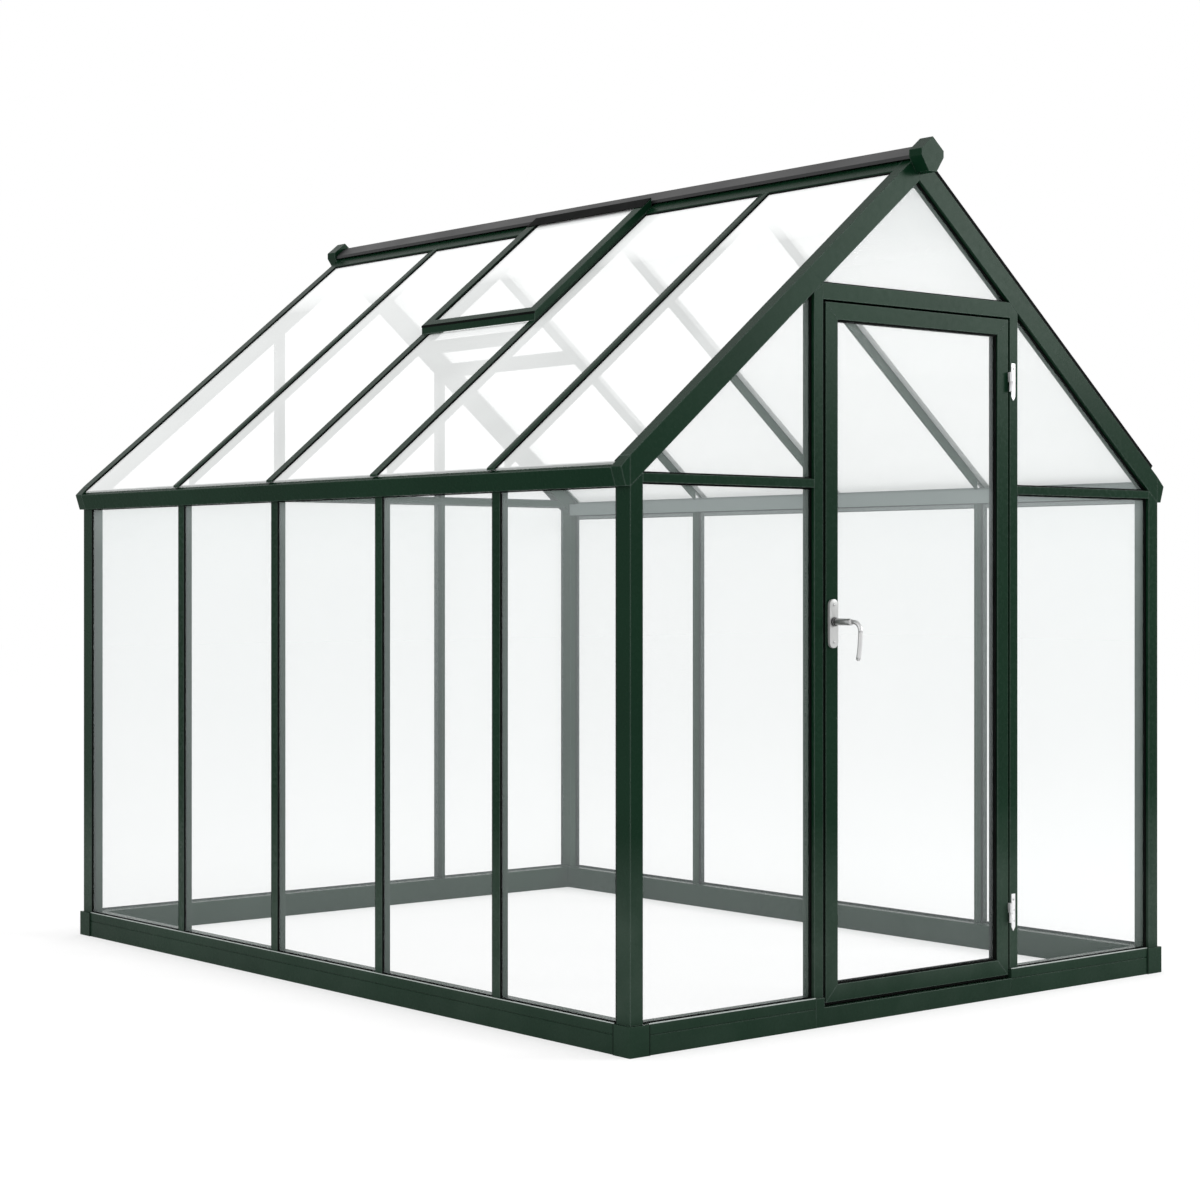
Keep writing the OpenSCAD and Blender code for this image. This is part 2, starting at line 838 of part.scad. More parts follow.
module door_bottom_rail() {
    color(green) door_piece([
        door_corner(false, false, 0), door_corner(true, false, 0),
        door_corner(true, false, stile_w), door_corner(false, false, stile_w)
    ]);
}

module door_glass() {
    color(clear)
        gable_prism(door_y + door_glass_set, door_y + door_glass_set + glass_t)
            polygon([
                door_corner(false, false, stile_w), door_corner(true, false, stile_w),
                door_corner(true, true, stile_w), door_corner(false, true, stile_w)
            ]);
}

module door_hinges() {
    color(silver)
        for (z = hinge_zs) door_hinge(z);
}

module handle_plate() {
    end_r = plate_w / 2;
    color(silver)
        difference() {
            gable_prism(door_y - plate_t, door_y)
                translate([handle_x, handle_z + plate_up - plate_h / 2]) {
                    square([plate_w, plate_h - plate_w], center = true);
                    for (s = [-1, 1])
                        translate([0, s * (plate_h / 2 - end_r)]) circle(end_r);
                }
            translate([handle_x, door_y - plate_t + spindle_in + handle_gap, handle_z])
                rotate([90, 0, 0])
                    cylinder(r = spindle_r + handle_gap, h = spindle_in + handle_gap + fuse);
        }
}

module lever_handle() {
    turn_out = lever_out - bend_r;
    curve_r = (lever_drop - bend_r) / sin(lever_curve);
    straight_r = rod_r - rod_step;
    color(silver)
        translate([handle_x, door_y, handle_z])
            rotate([90, 0, 0]) {
                translate([0, 0, plate_t - spindle_in])
                    cylinder(r = spindle_r, h = spindle_in + handle_gap + fuse);
                translate([0, 0, plate_t + handle_gap])
                    cylinder(r = neck_r, h = neck_out - plate_t - handle_gap);
                translate([0, 0, neck_out - fuse])
                    cylinder(r = straight_r, h = turn_out - neck_out + 2 * fuse);
                translate([0, -bend_r, turn_out])
                    rotate([0, -90, 0])
                        rotate_extrude(angle = 90)
                            translate([bend_r, 0]) circle(rod_r);
                translate([0, -bend_r, lever_out - curve_r])
                    rotate([0, -90, 0])
                        rotate([0, 0, -lever_curve])
                            rotate_extrude(angle = lever_curve + lever_lap)
                                translate([curve_r, 0]) circle(straight_r);
                translate([0, -lever_drop, lever_out - curve_r * (1 - cos(lever_curve))])
                    sphere(r = straight_r - rod_step);
            }
}

base_front_left();
door_sill();
base_front_right();
base_back();
base_left();
base_right();
base_corners_left();
base_corners_right();
post_front_left();
post_front_right();
post_back_left();
post_back_right();
left_wall_bars();
right_wall_bars();
back_gable_bars();
back_crossbar();
left_eave_rail();
right_eave_rail();
eave_end_caps();
front_left_rafter();
front_right_rafter();
back_left_rafter();
back_right_rafter();
ridge_beam();
ridge_cap();
ridge_end_caps();
left_roof_bars();
right_roof_bars();
front_left_crossbar();
front_right_crossbar();
door_jamb_left();
door_jamb_right();
door_lintel();
left_wall_glass();
right_wall_glass();
front_left_glass();
front_right_glass();
front_gable_glass();
back_wall_glass();
left_roof_glass();
right_roof_glass();
roof_vent_frame();
roof_vent_glass();
roof_vent_transom();
right_roof_transom();
jamb_hinges();
door_left_stile();
door_right_stile();
door_top_rail();
door_bottom_rail();
door_glass();
door_hinges();
handle_plate();
lever_handle();
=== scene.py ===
"""Looks of the glass greenhouse: coated profiles, glazing gaskets, glass, hardware, light and camera."""

import json
import math

import bmesh
import bpy
from mathutils import Matrix, Vector


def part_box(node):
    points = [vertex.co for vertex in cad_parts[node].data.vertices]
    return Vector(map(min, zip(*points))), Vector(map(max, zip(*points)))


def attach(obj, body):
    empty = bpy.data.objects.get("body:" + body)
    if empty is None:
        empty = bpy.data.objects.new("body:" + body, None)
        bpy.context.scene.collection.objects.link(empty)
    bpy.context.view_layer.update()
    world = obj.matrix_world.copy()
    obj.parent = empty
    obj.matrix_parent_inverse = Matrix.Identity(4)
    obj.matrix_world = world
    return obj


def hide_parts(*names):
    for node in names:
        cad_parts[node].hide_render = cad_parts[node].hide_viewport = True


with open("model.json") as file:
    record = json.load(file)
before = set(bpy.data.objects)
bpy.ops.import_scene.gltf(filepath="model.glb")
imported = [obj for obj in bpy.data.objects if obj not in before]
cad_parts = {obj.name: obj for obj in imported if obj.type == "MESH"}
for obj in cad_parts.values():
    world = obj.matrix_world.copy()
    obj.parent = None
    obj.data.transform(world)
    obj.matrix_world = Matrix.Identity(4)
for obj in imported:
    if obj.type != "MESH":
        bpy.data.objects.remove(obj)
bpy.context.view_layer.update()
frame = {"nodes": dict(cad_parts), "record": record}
nodes = frame["nodes"]

# Camera, from the vanishing lines of the photograph
CAMERA_PLACE = (-4.6197, -5.5096, 1.0847)
CAMERA_YAW = 0.6979
CAMERA_LENS = 74.6
CAMERA_SENSOR = 36.0
CAMERA_SHIFT_Y = -0.0182

# Lamps: place, target, size, watts
KEY_LAMP = ((5.0, -5.2, 3.2), (0.4, -1.2, 1.7), (2.8, 2.2), 210.0)
FILL_LAMP = ((-6.5, -0.5, 3.0), (-1.0, 0.0, 1.0), (4.0, 4.0), 70.0)

# Room: strength of the even light, side of the floor, its colour for light and its shade where it is seen
AMBIENT = 1.0
FLOOR_SIDE = 60.0
FLOOR_WHITE = 0.92
FLOOR_SHADE = 0.5
PANE_BOUNCES = 32

# Axes and directions
X, Y, Z = 0, 1, 2
LEFT, RIGHT = (-1, 0, 0), (1, 0, 0)
FRONT, BACK = (0, -1, 0), (0, 1, 0)
DOWN, UP = (0, 0, -1), (0, 0, 1)
ROOF_PITCH = math.radians(39.5)
LEFT_UP = (-math.sin(ROOF_PITCH), 0.0, math.cos(ROOF_PITCH))
RIGHT_UP = (math.sin(ROOF_PITCH), 0.0, math.cos(ROOF_PITCH))
LEFT_DOWN = (-math.cos(ROOF_PITCH), 0.0, -math.sin(ROOF_PITCH))

# How close things count as the same, in metres, shares of a direction and angles
WELD = 1e-5
NEAR = 0.002
SAME_WAY = 0.999
MOSTLY = 0.9
HARDLY = 0.1
PARALLEL = 1e-6
FLAT_ANGLE = math.radians(0.5)
ROUND_ANGLE = math.radians(25)
SMOOTH_ANGLE = math.radians(30)

# Profile edges, in metres: their radius, and the width of the painted edge highlight that also stands for
# rubbed wear
EDGE_ROUND = 0.0008
EDGE_HIGHLIGHT_WIDTH = 0.004

# Glazing gaskets, in metres: widths, what covers the edge of a pane, and heights above the pane
LIP = 0.0026
BEAD = 0.004
FOOT_BEAD = 0.0022
INNER_BEAD = 0.0025
CAP_COVER = 0.009
APRON_COVER = 0.012
FLANGE_COVER = 0.018
RIDGE_ZONE = 0.05
GASKET_H = 0.004
INNER_GASKET_H = 0.005
FRONT_GASKET_H = 0.007
DOOR_GASKET_H = 0.009

# Strips on the roof, in metres: near and far edge, height, and how far the ends stand in. The black strip on
# the right rafters is painted shade on their top edge, and the vent's black hinge strip also paints the
# shadow under the ridge cap
RAFTER_SHADE_STRIP, RAFTER_SHADE_STRIP_H, RAFTER_SHADE_STRIP_END = (0.0, 0.006), 0.009, 0.035
DRIP_STRIP, DRIP_STRIP_H = (0.0005, 0.0065), 0.0012
VENT_HINGE_SHADE_W, VENT_HINGE_SHADE_H = 0.045, 0.0015

# Seams and pale strips on the base, in metres; the pale strips are a painted highlight on the rails' top
# outer edge
SEAM, SEAM_H, SEAM_REACH = 0.0015, 0.0004, 0.05
SILL_HIGHLIGHT_STRIP, SILL_HIGHLIGHT_STRIP_H = (0.0003, 0.0045), 0.002

# Seals round the door, in metres; the leaf's edge strip also paints the shade on its latch edge
EDGE_SEAL_SHADE, EDGE_SEAL_SHADE_H = (0.004, 0.026), 0.003
FOOT_BRUSH, FOOT_BRUSH_H = (0.004, 0.024), 0.006
JAMB_STOP, JAMB_STOP_END = (0.0, 0.006), 0.045
LATCH_STOP_H = 0.016
HINGE_STOP_H = 0.01
LINTEL_STOP, LINTEL_STOP_H = (0.0, 0.0025), 0.012
SILL_STOP, SILL_STOP_H = (0.011, 0.0165), 0.014

# Screws and handle fittings, in metres; the head's outline and recess are shares of its radius and height
SCREW_RADIUS = 0.0035
HEAD_HEIGHT = 0.5
HEAD_OUTLINE = ((1.0, 0.0), (0.93, 0.6), (0.6, 1.0), (0.0, 1.0))
RECESS_LONG, RECESS_WIDE, RECESS_RISE = 0.9, 0.2, 0.0002
PLATE_SCREW_IN = 0.014
LEAF_SCREW_X = 0.007
LEAF_SCREW_DROPS = (0.014, 0.042, 0.07)
NECK_RADIUS = 0.0075
COLLAR = [(0.008, 0.0), (0.0112, 0.0), (0.0112, 0.005), (0.0102, 0.0062), (0.008, 0.0062)]
SLEEVE = [
    (NECK_RADIUS, 0.0075), (0.0081, 0.0075), (0.0083, 0.0085),
    (0.0083, 0.0565), (0.0081, 0.0575), (NECK_RADIUS, 0.0575),
]

# Colours, linear
GREEN = (0.0036, 0.0185, 0.0086)
COAT_TINT = (0.8, 1.0, 0.88)
# Paler low down: dust, and a painted reflection of the bright floor
DUST_AND_FLOOR_REFLECTION = (0.13, 0.16, 0.14)
# Painted edge highlight, also standing for rubbed wear
EDGE_WEAR_AND_HIGHLIGHT = (0.13, 0.16, 0.145)
# Paler colour of the sides that face inwards
PALE_INNER_SIDE = (0.19, 0.22, 0.215)
CAP_GREY = (0.016, 0.016, 0.017)
RUBBER = (0.0035, 0.004, 0.0037)
STEEL = (0.47, 0.475, 0.475)
# Painted shade of the screws' cross recesses, and the colour of the handle collar
COLLAR_AND_RECESS_SHADE = (0.13, 0.13, 0.132)
LEVER_STEEL = (0.58, 0.58, 0.58)
SLEEVE_STEEL = (0.5, 0.505, 0.5)
HINGE_SILVER = (0.76, 0.76, 0.765)
PLATE_SILVER = (0.4, 0.405, 0.4)
# Pale strip that paints the highlight on the base rails' top outer edge
SILL_HIGHLIGHT_TRIM = (0.42, 0.46, 0.44)
WALL_TINT = (0.61, 0.67, 0.665)
ROOF_TINT = (0.97, 0.985, 0.98)
WHITE = (1.0, 1.0, 1.0)

# What a value runs between, and what that becomes: noise, dust and painted floor reflection by height,
# painted edge highlight, paler inner sides, film by height
NOISE_SPAN = (0.3, 0.7)
DUST_AND_FLOOR_REFLECTION_SPAN = (0.35, 0.7)
SMEAR_SPAN = (0.35, 0.65)
LOW_PALE_BAND = ((0.28, 0.5), (0.17, 0.0))
BASE_LOW_PALE_BAND = ((0.06, 0.1), (0.45, 1.0))
EDGE_TURN = (0.75, 0.97)
INWARD = (-0.9, -0.5)
WALL_FILM = ((0.1, 1.15), (0.019, 0.077))
WALL_MIST = ((1.16, 1.27), (0.0, 0.04))
MIST_END = ((1.3, 1.32), (1.0, 0.0))
ROOF_FILM = ((1.3, 2.1), (0.26, 0.32))
RIDGE_FILM = ((1.93, 2.01), (0.0, 0.6))

# Panes: mirror share seen straight and what a slant adds, least cosine, roughness and gloss
MIRROR, MIRROR_SLANT, MIRROR_POWER = 0.08, 0.92, 5.0
LEAST_COSINE = 0.12
PANE_ROUGHNESS = 0.06
PANE_GLOSS = 0.08


def body_of(node):
    """Name of the body that a CAD node rides on."""
    for body, members in frame["record"]["behaviour"]["bodies"].items():
        if node in members:
            return body
    return None


def slot_of(node):
    """Material slot of a CAD node in the record."""
    for part in frame["record"]["subparts"]:
        if part["node"] == node:
            return part["material_slot"]
    return None


class Graph:
    """Short way to add and link nodes in a material or world."""

    def __init__(self, owner):
        owner.use_nodes = True
        self.tree = owner.node_tree
        self.tree.nodes.clear()

    def add(self, kind, settings=None, **inputs):
        node = self.tree.nodes.new(kind)
        for key, value in (settings or {}).items():
            setattr(node, key, value)
        for key, value in inputs.items():
            self.put(node, key, value)
        return node

    def put(self, node, key, value):
        name = key.replace("_", " ")
        socket = node.inputs[int(key[1:])] if key[0] == "i" and key[1:].isdigit() else node.inputs[name]
        if isinstance(value, bpy.types.NodeSocket):
            self.tree.links.new(value, socket)
        elif isinstance(value, tuple) and len(value) == 3 and socket.type == "RGBA":
            socket.default_value = (*value, 1.0)
        else:
            socket.default_value = value

    def math(self, operation, first, second=0.0, clamp=False):
        node = self.add("ShaderNodeMath", {"operation": operation, "use_clamp": clamp}, i0=first, i1=second)
        return node.outputs[0]

    def spread(self, value, span, to):
        """Value carried from one span to another and held at its ends."""
        node = self.add("ShaderNodeMapRange", {"clamp": True}, Value=value)
        for index, number in enumerate((*span, *to)):
            self.put(node, f"i{index + 1}", number)
        return node.outputs[0]

    def blend(self, share, first, second):
        node = self.add("ShaderNodeMix", {"data_type": "RGBA"}, i0=share, i6=first, i7=second)
        return node.outputs[2]

    def scaled(self, colour, share):
        return self.add("ShaderNodeVectorMath", {"operation": "SCALE"}, i0=colour, Scale=share).outputs[0]

    def noise(self, where, scale, detail):
        return self.add("ShaderNodeTexNoise", Vector=where, Scale=scale, Detail=detail).outputs[0]

    def varied(self, noise, low, high):
        return self.spread(noise, NOISE_SPAN, (low, high))

    def bump(self, height, strength, distance):
        return self.add("ShaderNodeBump", Height=height, Strength=strength, Distance=distance).outputs[0]

    def parts(self, vector):
        return self.add("ShaderNodeSeparateXYZ", Vector=vector).outputs

    def where(self):
        return self.add("ShaderNodeTexCoord").outputs["Object"]

    def surface(self, shader, kind="ShaderNodeOutputMaterial"):
        out = self.add(kind)
        self.tree.links.new(shader.outputs[0], out.inputs["Surface"])

    def principled(self, **inputs):
        self.surface(self.add("ShaderNodeBsdfPrincipled", **inputs))


def new_material(name):
    """Empty material, its graph and the place on the object."""
    mat = bpy.data.materials.new(name)
    g = Graph(mat)
    return mat, g, g.where()


def green_coat(name, gloss, edge_highlight=0.0, inner_pale=0.0):
    """Satin powder coat: orange peel, faint patches, paler low down from dust and a painted reflection of
    the floor, convex edges lighter as a painted highlight that also stands for rubbed wear, paler inner
    sides.
    """
    mat, g, where = new_material(name)
    across, _, height = g.parts(where)
    normal = g.add("ShaderNodeNewGeometry").outputs["Normal"]
    patches = g.varied(g.noise(where, scale=2.3, detail=3.0), 0.86, 1.14)
    flecks = g.varied(g.noise(where, scale=420.0, detail=2.0), -0.05, 0.05)
    tone = g.scaled(GREEN, g.math("ADD", patches, flecks))
    # Paler low down: dust, and a painted reflection of the bright floor near the foot
    low_pale = g.math("MULTIPLY", g.spread(height, *LOW_PALE_BAND), g.spread(height, *BASE_LOW_PALE_BAND))
    uneven = g.spread(g.noise(where, scale=9.0, detail=4.0), DUST_AND_FLOOR_REFLECTION_SPAN, (0.7, 1.2))
    colour = g.blend(g.math("MULTIPLY", low_pale, uneven), tone, DUST_AND_FLOOR_REFLECTION)
    # Lighter convex edges: a painted edge highlight that also stands for rubbed wear
    if edge_highlight:
        softened = g.add("ShaderNodeBevel", {"samples": 6}, Radius=EDGE_HIGHLIGHT_WIDTH).outputs[0]
        dot = g.add("ShaderNodeVectorMath", {"operation": "DOT_PRODUCT"}, i0=normal, i1=softened)
        colour = g.blend(g.spread(dot.outputs["Value"], EDGE_TURN, (edge_highlight, 0.0)), colour, EDGE_WEAR_AND_HIGHLIGHT)
    # Sides that face inwards are made paler
    if inner_pale:
        outward = g.math("MULTIPLY", g.parts(normal)[X], g.math("SIGN", across))
        colour = g.blend(g.spread(outward, INWARD, (inner_pale, 0.0)), colour, PALE_INNER_SIDE)
    g.principled(
        Base_Color=colour,
        Roughness=g.varied(g.noise(where, scale=60.0, detail=3.0), 0.24, 0.3),
        Normal=g.bump(g.noise(where, scale=700.0, detail=1.0), strength=0.12, distance=0.0003),
        Specular_IOR_Level=gloss,
        Specular_Tint=COAT_TINT,
    )
    return mat


def cap_plastic():
    """Dark grey weathering plastic of the ridge cap."""
    mat, g, where = new_material("dark_grey_plastic")
    patch = g.noise(where, scale=5.0, detail=4.0)
    g.principled(
        Base_Color=g.scaled(CAP_GREY, g.varied(patch, 0.8, 1.2)),
        Roughness=g.varied(patch, 0.38, 0.5),
        Normal=g.bump(g.noise(where, scale=500.0, detail=2.0), strength=0.15, distance=0.0003),
        Specular_IOR_Level=0.3,
    )
    return mat


def black_rubber():
    """Black glazing rubber with a dull, faintly uneven skin."""
    mat, g, where = new_material("black_rubber")
    patch = g.noise(where, scale=14.0, detail=3.0)
    g.principled(
        Base_Color=g.scaled(RUBBER, g.varied(patch, 0.7, 1.4)),
        Roughness=g.varied(patch, 0.55, 0.7),
        Normal=g.bump(g.noise(where, scale=900.0, detail=2.0), strength=0.1, distance=0.0002),
        Specular_IOR_Level=0.02,
    )
    return mat


def satin_steel(name, colour, metallic=1.0):
    """Satin steel with fine upright brush marks; a lower metallic share stands for a silver lacquer."""
    mat, g, where = new_material(name)
    stretched = g.add("ShaderNodeMapping", Vector=where, Scale=(1.0, 1.0, 0.04)).outputs[0]
    brush = g.noise(stretched, scale=1800.0, detail=3.0)
    g.principled(
        Base_Color=g.scaled(colour, g.varied(brush, 0.9, 1.08)),
        Roughness=g.varied(brush, 0.34, 0.46),
        Normal=g.bump(brush, strength=0.05, distance=0.0001),
        Metallic=metallic,
    )
    return mat


def pane_glass(name, tint, film_of):
    """Clear pane with a faint film, seen on its outer side: it mirrors and hides more at a slant."""
    mat, g, where = new_material(name)
    facing = g.add("ShaderNodeLayerWeight", Blend=0.5).outputs["Facing"]
    slant = g.math("MULTIPLY", g.math("POWER", facing, MIRROR_POWER), MIRROR_SLANT)
    mirror = g.math("ADD", slant, MIRROR)
    cosine = g.math("MAXIMUM", g.math("SUBTRACT", 1.0, facing), LEAST_COSINE)
    film = film_of(g, g.parts(where)[Z])
    smear = g.spread(g.noise(where, scale=1.7, detail=3.0), SMEAR_SPAN, (0.85, 1.15))
    depth = g.math("DIVIDE", g.math("MULTIPLY", film, smear), cosine)
    passed = g.math("POWER", math.e, g.math("MULTIPLY", depth, -1.0))
    clear = g.math("MULTIPLY", passed, g.math("SUBTRACT", 1.0, mirror))
    outer = g.math("SUBTRACT", 1.0, g.add("ShaderNodeNewGeometry").outputs["Backfacing"])
    alpha = g.math("MULTIPLY", outer, g.math("SUBTRACT", 1.0, clear, clamp=True))
    g.principled(Base_Color=tint, Roughness=PANE_ROUGHNESS, Alpha=alpha, Specular_IOR_Level=PANE_GLOSS)
    return mat


def wall_film(g, height):
    """Film of a wall pane: thin at the foot, misty in a band under the eaves."""
    mist = g.math("MULTIPLY", g.spread(height, *WALL_MIST), g.spread(height, *MIST_END))
    return g.math("ADD", g.spread(height, *WALL_FILM), mist)


def roof_film(g, height):
    """Film of a roof pane: dust and dew that thicken towards the ridge."""
    return g.math("ADD", g.spread(height, *ROOF_FILM), g.spread(height, *RIDGE_FILM))


coat = green_coat("green_powder_coat", 0.05, edge_highlight=0.8)
base_coat = green_coat("green_coat_base", 0.05)
eave_coat = green_coat("green_coat_eaves", 0.03, edge_highlight=0.8, inner_pale=0.9)
plastic = cap_plastic()
rubber = black_rubber()
steel = satin_steel("satin_steel", STEEL)
collar_and_recess_shade_steel = satin_steel("collar_steel_and_recess_shade", COLLAR_AND_RECESS_SHADE)
lever_steel = satin_steel("lever_steel", LEVER_STEEL)
sleeve_steel = satin_steel("sleeve_steel", SLEEVE_STEEL)
plate_silver = satin_steel("plate_silver", PLATE_SILVER, metallic=0.3)
hinge_silver = satin_steel("hinge_silver", HINGE_SILVER, metallic=0.4)
sill_highlight_trim = satin_steel("sill_highlight_trim", SILL_HIGHLIGHT_TRIM)
wall_glass = pane_glass("wall_glass", WALL_TINT, wall_film)
roof_glass = pane_glass("roof_glass", ROOF_TINT, roof_film)


def welded(node):
    """Bmesh copy of a CAD node with its triangles joined at their corners."""
    bm = bmesh.new()
    bm.from_mesh(nodes[node].data)
    bmesh.ops.remove_doubles(bm, verts=bm.verts, dist=WELD)
    return bm


def flat_faces(node):
    """Bmesh copy of a CAD node with its triangles joined back into flat faces."""
    bm = welded(node)
    bmesh.ops.dissolve_limit(bm, angle_limit=FLAT_ANGLE, verts=bm.verts, edges=bm.edges)
    return bm


def piece_from(name, bm, material):
    """New object from a bmesh, with one material."""
    mesh = bpy.data.meshes.new(name)
    bm.to_mesh(mesh)
    bm.free()
    mesh.materials.append(material)
    piece = bpy.data.objects.new(name, mesh)
    bpy.context.scene.collection.objects.link(piece)
    return piece


def stand_for(piece, node):
    """Put a piece in the place of a CAD node, on its body."""
    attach(piece, body_of(node))
    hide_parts(node)


def dress_profile(node, material):
    """Profile with a small radius on its edges in place of a sharp CAD node."""
    piece = piece_from(f"{node}_profile", flat_faces(node), material)
    bevel = piece.modifiers.new("edge_radius", "BEVEL")
    bevel.width = EDGE_ROUND
    bevel.segments = 2
    bevel.limit_method = "ANGLE"
    bevel.angle_limit = ROUND_ANGLE
    stand_for(piece, node)


def dress_round(node, material):
    """Turned or bent piece in place of its faceted CAD node."""
    piece = piece_from(f"{node}_metal", welded(node), material)
    for face in piece.data.polygons:
        face.use_smooth = True
    piece.data.set_sharp_from_angle(angle=SMOOTH_ANGLE)
    stand_for(piece, node)


def dress_pane(node, material):
    """Finish on panes that keep their CAD mesh; they let the light in without a shadow of their own."""
    mesh = nodes[node].data
    mesh.materials.clear()
    mesh.materials.append(material)
    nodes[node].visible_shadow = False
    nodes[node].visible_diffuse = False


def coat_of(node):
    """Coat of a green profile: the eaves and the base have their own."""
    if "eave_rail" in node:
        return eave_coat
    return base_coat if node.startswith("base_") else coat


for node in nodes:
    slot = slot_of(node)
    if slot == "green_paint":
        dress_profile(node, coat_of(node))
    elif slot == "dark_plastic":
        dress_profile(node, plastic)
    elif slot == "clear_glass":
        dress_pane(node, roof_glass if "roof" in node else wall_glass)
    elif node == "handle_plate":
        dress_profile(node, plate_silver)
    else:
        dress_round(node, lever_steel if node == "lever_handle" else hinge_silver)


def faces_toward(node, direction):
    """Largest flat face of each solid of a node that looks in a direction, as lists of corners."""
    direction = Vector(direction).normalized()
    bm = flat_faces(node)
    best = {}
    for face in bm.faces:
        if face.normal.dot(direction) > SAME_WAY:
            solid = solid_of(face)
            if solid not in best or face.calc_area() > best[solid].calc_area():
                best[solid] = face
    found = [[corner.co.copy() for corner in face.verts] for face in best.values()]
    bm.free()
    return found


def solid_of(face):
    """Lowest vertex index of the solid that a face belongs to."""
    seen = {face.verts[0]}
    queue = [face.verts[0]]
    while queue:
        for edge in queue.pop().link_edges:
            for vert in edge.verts:
                if vert not in seen:
                    seen.add(vert)
                    queue.append(vert)
    return min(vert.index for vert in seen)


def shifted_corners(points, normal, shifts):
    """Corners of a flat outline after each side moves inwards by its own shift."""
    sides = []
    for index, point in enumerate(points):
        along = (points[(index + 1) % len(points)] - point).normalized()
        sides.append((point + normal.cross(along) * shifts[index], along))
    corners = []
    for index, (start, along) in enumerate(sides):
        before, slope = sides[index - 1]
        turn = slope.cross(along).dot(normal)
        if abs(turn) < PARALLEL:
            corners.append(start)
        else:
            corners.append(before + slope * ((start - before).cross(along).dot(normal) / turn))
    return corners


def bead_along(bm, points, normal, height, rule):
    """Strips on a flat outline; the rule gives (near, far, made) for a side's middle and direction."""
    count = len(points)
    plans = []
    for index, point in enumerate(points):
        end = points[(index + 1) % count]
        plans.append(rule((point + end) / 2, (end - point).normalized()))
    outer = [bm.verts.new(p) for p in shifted_corners(points, normal, [plan[0] for plan in plans])]
    inner = [bm.verts.new(p) for p in shifted_corners(points, normal, [plan[1] for plan in plans])]
    flats = []
    for index, plan in enumerate(plans):
        if plan[2]:
            after = (index + 1) % count
            flats.append(bm.faces.new((outer[index], outer[after], inner[after], inner[index])))
    for vert in outer + inner:
        if not vert.link_faces:
            bm.verts.remove(vert)
    raised = bmesh.ops.extrude_face_region(bm, geom=flats)["geom"]
    lifted = [item for item in raised if isinstance(item, bmesh.types.BMVert)]
    bmesh.ops.translate(bm, verts=lifted, vec=normal * height)


def add_piece(name, bm, material, node):
    """Piece that is fixed to a node and moves with its body."""
    bmesh.ops.recalc_face_normals(bm, faces=bm.faces)
    piece = piece_from(name, bm, material)
    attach(piece, body_of(node))
    return piece


def add_bead(name, node, direction, height, rule, material=rubber):
    """One piece of strips, of rubber as a rule, on the faces of a node that look in a direction."""
    normal = Vector(direction).normalized()
    bm = bmesh.new()
    for points in faces_toward(node, direction):
        bead_along(bm, points, normal, height, rule)
    add_piece(name, bm, material, node)


SKIP = (0.0, 0.0, False)


def on_bounds(middle, axis, low, high):
    """Whether a side's middle lies at either end of a node's box along an axis."""
    return min(abs(middle[axis] - low[axis]), abs(middle[axis] - high[axis])) < NEAR


def bar_side(at_end):
    """Bead at a post or rafter, or else a lip beside the cap of a bar."""
    return (0.0, BEAD, True) if at_end else (CAP_COVER, CAP_COVER + LIP, True)


def all_round(width):
    """Rule for a bead on every side."""
    return lambda middle, along: (0.0, width, True)


def one_side(axis, bound, edges, end_shift=0.0):
    """Rule for a strip, from its near to its far edge, along the one side at a bound of an axis."""
    def rule(middle, along):
        if abs(middle[axis] - bound) < NEAR:
            return (*edges, True)
        return end_shift, end_shift, False
    return rule


def wall_rule(node, axis):
    """Rule for wall panes: lips beside bar caps, beads at posts, foot and crossbars."""
    low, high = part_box(node)
    def rule(middle, along):
        if abs(along.z) > MOSTLY:
            return bar_side(on_bounds(middle, axis, low, high))
        if axis == Y and middle.z > high.z - NEAR:
            return APRON_COVER, APRON_COVER + LIP, True
        return 0.0, BEAD, True
    return rule


def front_rule(node):
    """Rule for the front panes: a bead on every side, lower at the foot."""
    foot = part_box(node)[0].z
    return lambda middle, along: (0.0, FOOT_BEAD if middle.z < foot + NEAR else BEAD, True)


def roof_rule(node):
    """Rule for roof panes: lips beside bar caps and the ridge flange, beads at the rafters."""
    low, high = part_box(node)
    def rule(middle, along):
        if abs(along.y) < HARDLY:
            return bar_side(on_bounds(middle, Y, low, high))
        if middle.z > high.z - RIDGE_ZONE:
            return FLANGE_COVER, FLANGE_COVER + LIP, True
        return SKIP
    return rule


def seam_rule(node, across, along_axis):
    """Rule for the seam at the ends of a base corner, on the outer faces that lie across an axis."""
    low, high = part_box(node)
    centre = (low.y + high.y) / 2 if along_axis == Y else 0.0
    reach = max(abs(low[along_axis] - centre), abs(high[along_axis] - centre))
    def rule(middle, along):
        inner_end = abs(middle[along_axis] - centre) < reach - SEAM_REACH
        seam = inner_end and on_bounds(middle, across, low, high) and abs(along.z) > MOSTLY
        return (0.0, SEAM, True) if seam else SKIP
    return rule


# Gaskets of the panes
for side, outward, inward, up in (("left", LEFT, RIGHT, LEFT_UP), ("right", RIGHT, LEFT, RIGHT_UP)):
    panes = f"{side}_wall_glass"
    add_bead(f"{side}_wall_gaskets", panes, outward, GASKET_H, wall_rule(panes, Y))
    add_bead(f"{side}_wall_inner_gaskets", panes, inward, INNER_GASKET_H, all_round(INNER_BEAD))
    panes = f"{side}_roof_glass"
    add_bead(f"{side}_roof_gaskets", panes, up, GASKET_H, roof_rule(panes))
    panes = f"front_{side}_glass"
    add_bead(f"front_{side}_gaskets", panes, FRONT, FRONT_GASKET_H, front_rule(panes))
